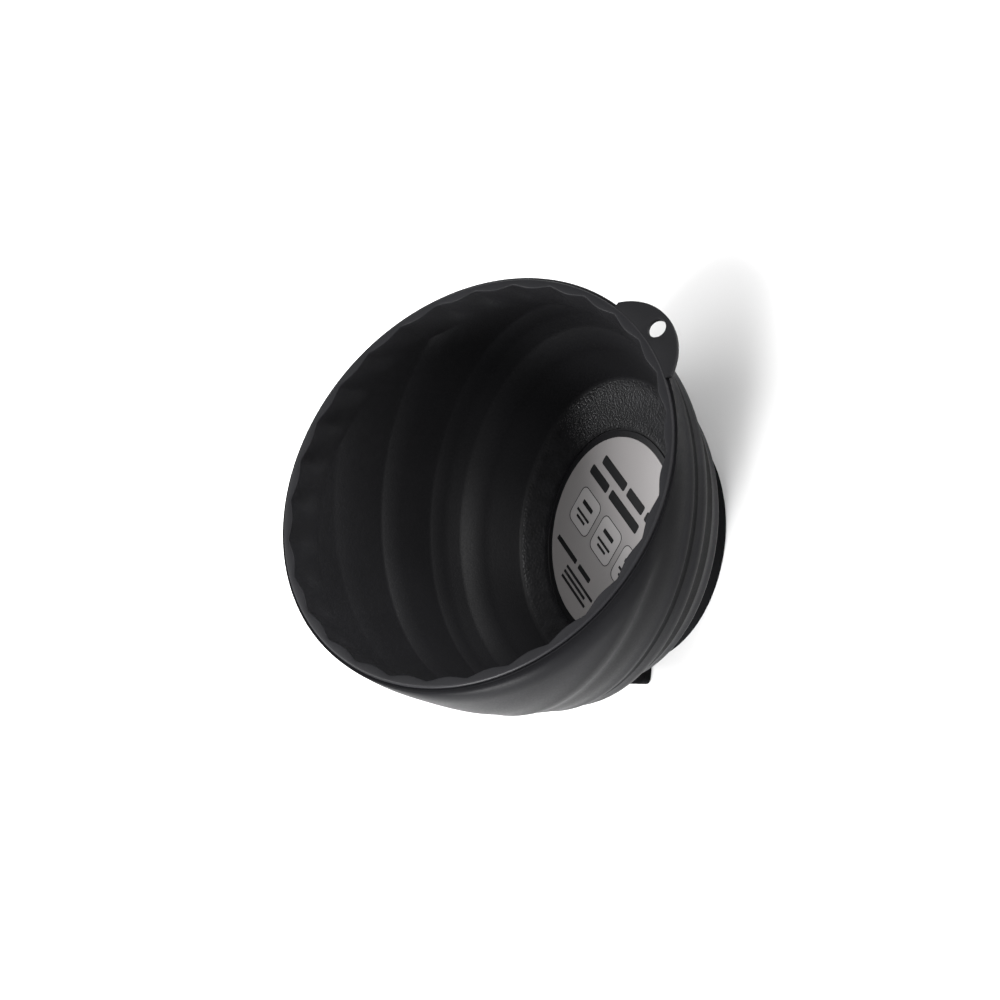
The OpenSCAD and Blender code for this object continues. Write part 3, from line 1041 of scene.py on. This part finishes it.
class TRAY_OT_lay_sticker(bpy.types.Operator):
    """Lay the silver sticker on the floor, with its plain print"""

    bl_idname = "tray.lay_sticker"
    bl_label = "Lay Floor Sticker"

    def execute(self, context):
        sizes = context.scene.tray_sticker
        section = rounded_section((
            (0.0, STICKER_LOW.z, 0.0),
            (STICKER_HIGH.x, STICKER_LOW.z, 0.0),
            (STICKER_HIGH.x, STICKER_HIGH.z, sizes.edge_round),
            (0.0, STICKER_HIGH.z, 0.0),
        ))
        film = spin_section(section, *FILM_SECTORS)
        close_shell(film)
        silver = silver_film("sticker_film", sizes.film_colour)
        new_piece("floor_sticker", film, (silver,), "label_film", "floor_label")
        self.print_film(sizes)
        return {"FINISHED"}

    def print_film(self, sizes):
        """Prints plain bars and outlined panels on the film."""
        radius, height = STICKER_HIGH.x, sizes.print_height
        ink = bmesh.new()
        for left, middle, length, thickness in PRINT_BARS:
            add_plate(ink, (left + length / 2) * radius, middle * radius, length * radius,
                      thickness * radius, 2 * height)
        panels = bmesh.new()
        for across_share, up_share, side_share in PRINT_PANELS:
            across, up, side = across_share * radius, up_share * radius, side_share * radius
            add_plate(panels, across, up, side, side, height)
            add_outline(ink, across, up, side, sizes.line_width, 2 * height)
            for middle, length, thickness in PANEL_BARS:
                add_plate(ink, across, up + middle * side, length * side, thickness * side, 2 * height)
        join_rows(ink, panels, PANEL_FILM)
        turn = Matrix.Rotation(sizes.print_turn, 4, "Z")
        film_frame = Matrix.Translation((0.0, 0.0, STICKER_HIGH.z)) @ turn
        bmesh.ops.transform(ink, matrix=film_frame, verts=ink.verts[:])
        close_shell(ink)
        materials = (print_ink("print_ink", sizes.ink_colour), silver_film("panel_film", sizes.panel_colour))
        new_piece("sticker_print", ink, materials, "label_film")


class TRAY_OT_finish_magnet(bpy.types.Operator):
    """Give the magnet, its pole pieces and the fixing their own finishes"""

    bl_idname = "tray.finish_magnet"
    bl_label = "Finish Magnet Parts"

    def execute(self, context):
        finishes = {
            "ring_magnet": ferrite_black("magnet_ferrite", colour=(0.05, 0.05, 0.053)),
            "pole_plate": zinc_steel("plate_zinc", colour=(0.46, 0.47, 0.48), stroke=0.0006),
            "pole_bush": zinc_steel("bush_zinc", colour=(0.5, 0.5, 0.51), stroke=0.0004),
            "fixing_screw": zinc_steel("screw_zinc", colour=(0.56, 0.56, 0.57), stroke=0.0003),
            "screw_washer": zinc_steel("washer_zinc", colour=(0.52, 0.52, 0.53), stroke=0.0003),
        }
        for node, material in finishes.items():
            mesh = frame["nodes"][node].data
            mesh.materials.clear()
            mesh.materials.append(material)
        return {"FINISHED"}


class TRAY_OT_set_stage(bpy.types.Operator):
    """Set the pale floor, the soft light and the camera"""

    bl_idname = "tray.set_stage"
    bl_label = "Set Stage"

    def execute(self, context):
        settings = context.scene.tray_studio
        self.lay_floor(context, settings)
        for name, place, side, power in LIGHTS:
            self.hang_light(context, name, Vector(place), side, power)
        self.light_world(context, settings)
        self.place_camera(context, settings)
        return {"FINISHED"}

    def lay_floor(self, context, settings):
        """Lays a wide sheet of pale matt paper under the tray."""
        sheet = bmesh.new()
        bmesh.ops.create_grid(sheet, x_segments=1, y_segments=1, size=settings.floor_reach)
        mesh = bpy.data.meshes.new("studio_floor")
        sheet.to_mesh(mesh)
        sheet.free()
        mesh.materials.append(floor_paper("studio_floor", settings.floor_colour))
        floor = bpy.data.objects.new("studio_floor", mesh)
        context.scene.collection.objects.link(floor)

    def hang_light(self, context, name, place, side, power):
        """Hangs a square lamp that faces the common spot."""
        light = bpy.data.objects.new(name, bpy.data.lights.new(name, "AREA"))
        light.data.size = side
        light.data.energy = power
        light.location = place
        light.rotation_euler = (LIGHT_AIM - place).to_track_quat("-Z", "Y").to_euler()
        context.scene.collection.objects.link(light)

    def light_world(self, context, settings):
        """Gives the room its even white light and plain tones."""
        world = bpy.data.worlds.new("studio_world")
        world.use_nodes = True
        background = world.node_tree.nodes["Background"]
        background.inputs["Color"].default_value = WHITE
        background.inputs["Strength"].default_value = settings.world_strength
        context.scene.world = world
        context.scene.view_settings.view_transform = "Standard"

    def place_camera(self, context, settings):
        """Places the camera where the tray was photographed from."""
        camera = bpy.data.objects.new("camera", bpy.data.cameras.new("camera"))
        camera.data.sensor_width = SENSOR_WIDTH
        camera.data.lens = settings.lens
        camera.location = settings.camera_place
        camera.rotation_euler = settings.camera_turn
        context.scene.collection.objects.link(camera)
        context.scene.camera = camera


class TRAY_PT_panel(bpy.types.Panel):
    """Lists the tray's pieces and their sizes"""

    bl_idname = "TRAY_PT_panel"
    bl_label = "Parts Tray"
    bl_space_type = "VIEW_3D"
    bl_region_type = "UI"
    bl_category = "Parts Tray"

    def draw(self, context):
        for title, settings, operators in PANEL_GROUPS:
            box = self.layout.box()
            box.label(text=title)
            group = getattr(context.scene, settings)
            for name in group.__annotations__:
                box.prop(group, name)
            for operator in operators:
                box.operator(operator.bl_idname)


SETTINGS = {
    "tray_bowl": TrayBowlSizes,
    "tray_ear": TrayEarSizes,
    "tray_base": TrayBaseSizes,
    "tray_sticker": TrayStickerSizes,
    "tray_studio": TrayStudioSettings,
}
PANEL_GROUPS = (
    ("Bowl", "tray_bowl", (TRAY_OT_mould_bowl,)),
    ("Hanging Ear", "tray_ear", (TRAY_OT_mould_ear,)),
    ("Magnet Base", "tray_base", (TRAY_OT_mould_boot, TRAY_OT_finish_magnet)),
    ("Floor Sticker", "tray_sticker", (TRAY_OT_lay_sticker,)),
    ("Studio", "tray_studio", (TRAY_OT_set_stage,)),
)
OPERATORS = [operator for title, settings, operators in PANEL_GROUPS for operator in operators]
CLASSES = (*SETTINGS.values(), *OPERATORS, TRAY_PT_panel)


def register():
    """Registers the classes and puts their settings on the scene."""
    for cls in CLASSES:
        bpy.utils.register_class(cls)
    for name, group in SETTINGS.items():
        setattr(bpy.types.Scene, name, PointerProperty(type=group))


def unregister():
    """Takes the settings and the classes away again."""
    for name in SETTINGS:
        delattr(bpy.types.Scene, name)
    for cls in reversed(CLASSES):
        bpy.utils.unregister_class(cls)


def main():
    """Builds the whole tray and its stage."""
    register()
    bpy.ops.tray.mould_bowl()
    bpy.ops.tray.mould_ear()
    bpy.ops.tray.mould_boot()
    bpy.ops.tray.lay_sticker()
    bpy.ops.tray.finish_magnet()
    bpy.ops.tray.set_stage()


if __name__ == "__main__":
    main()
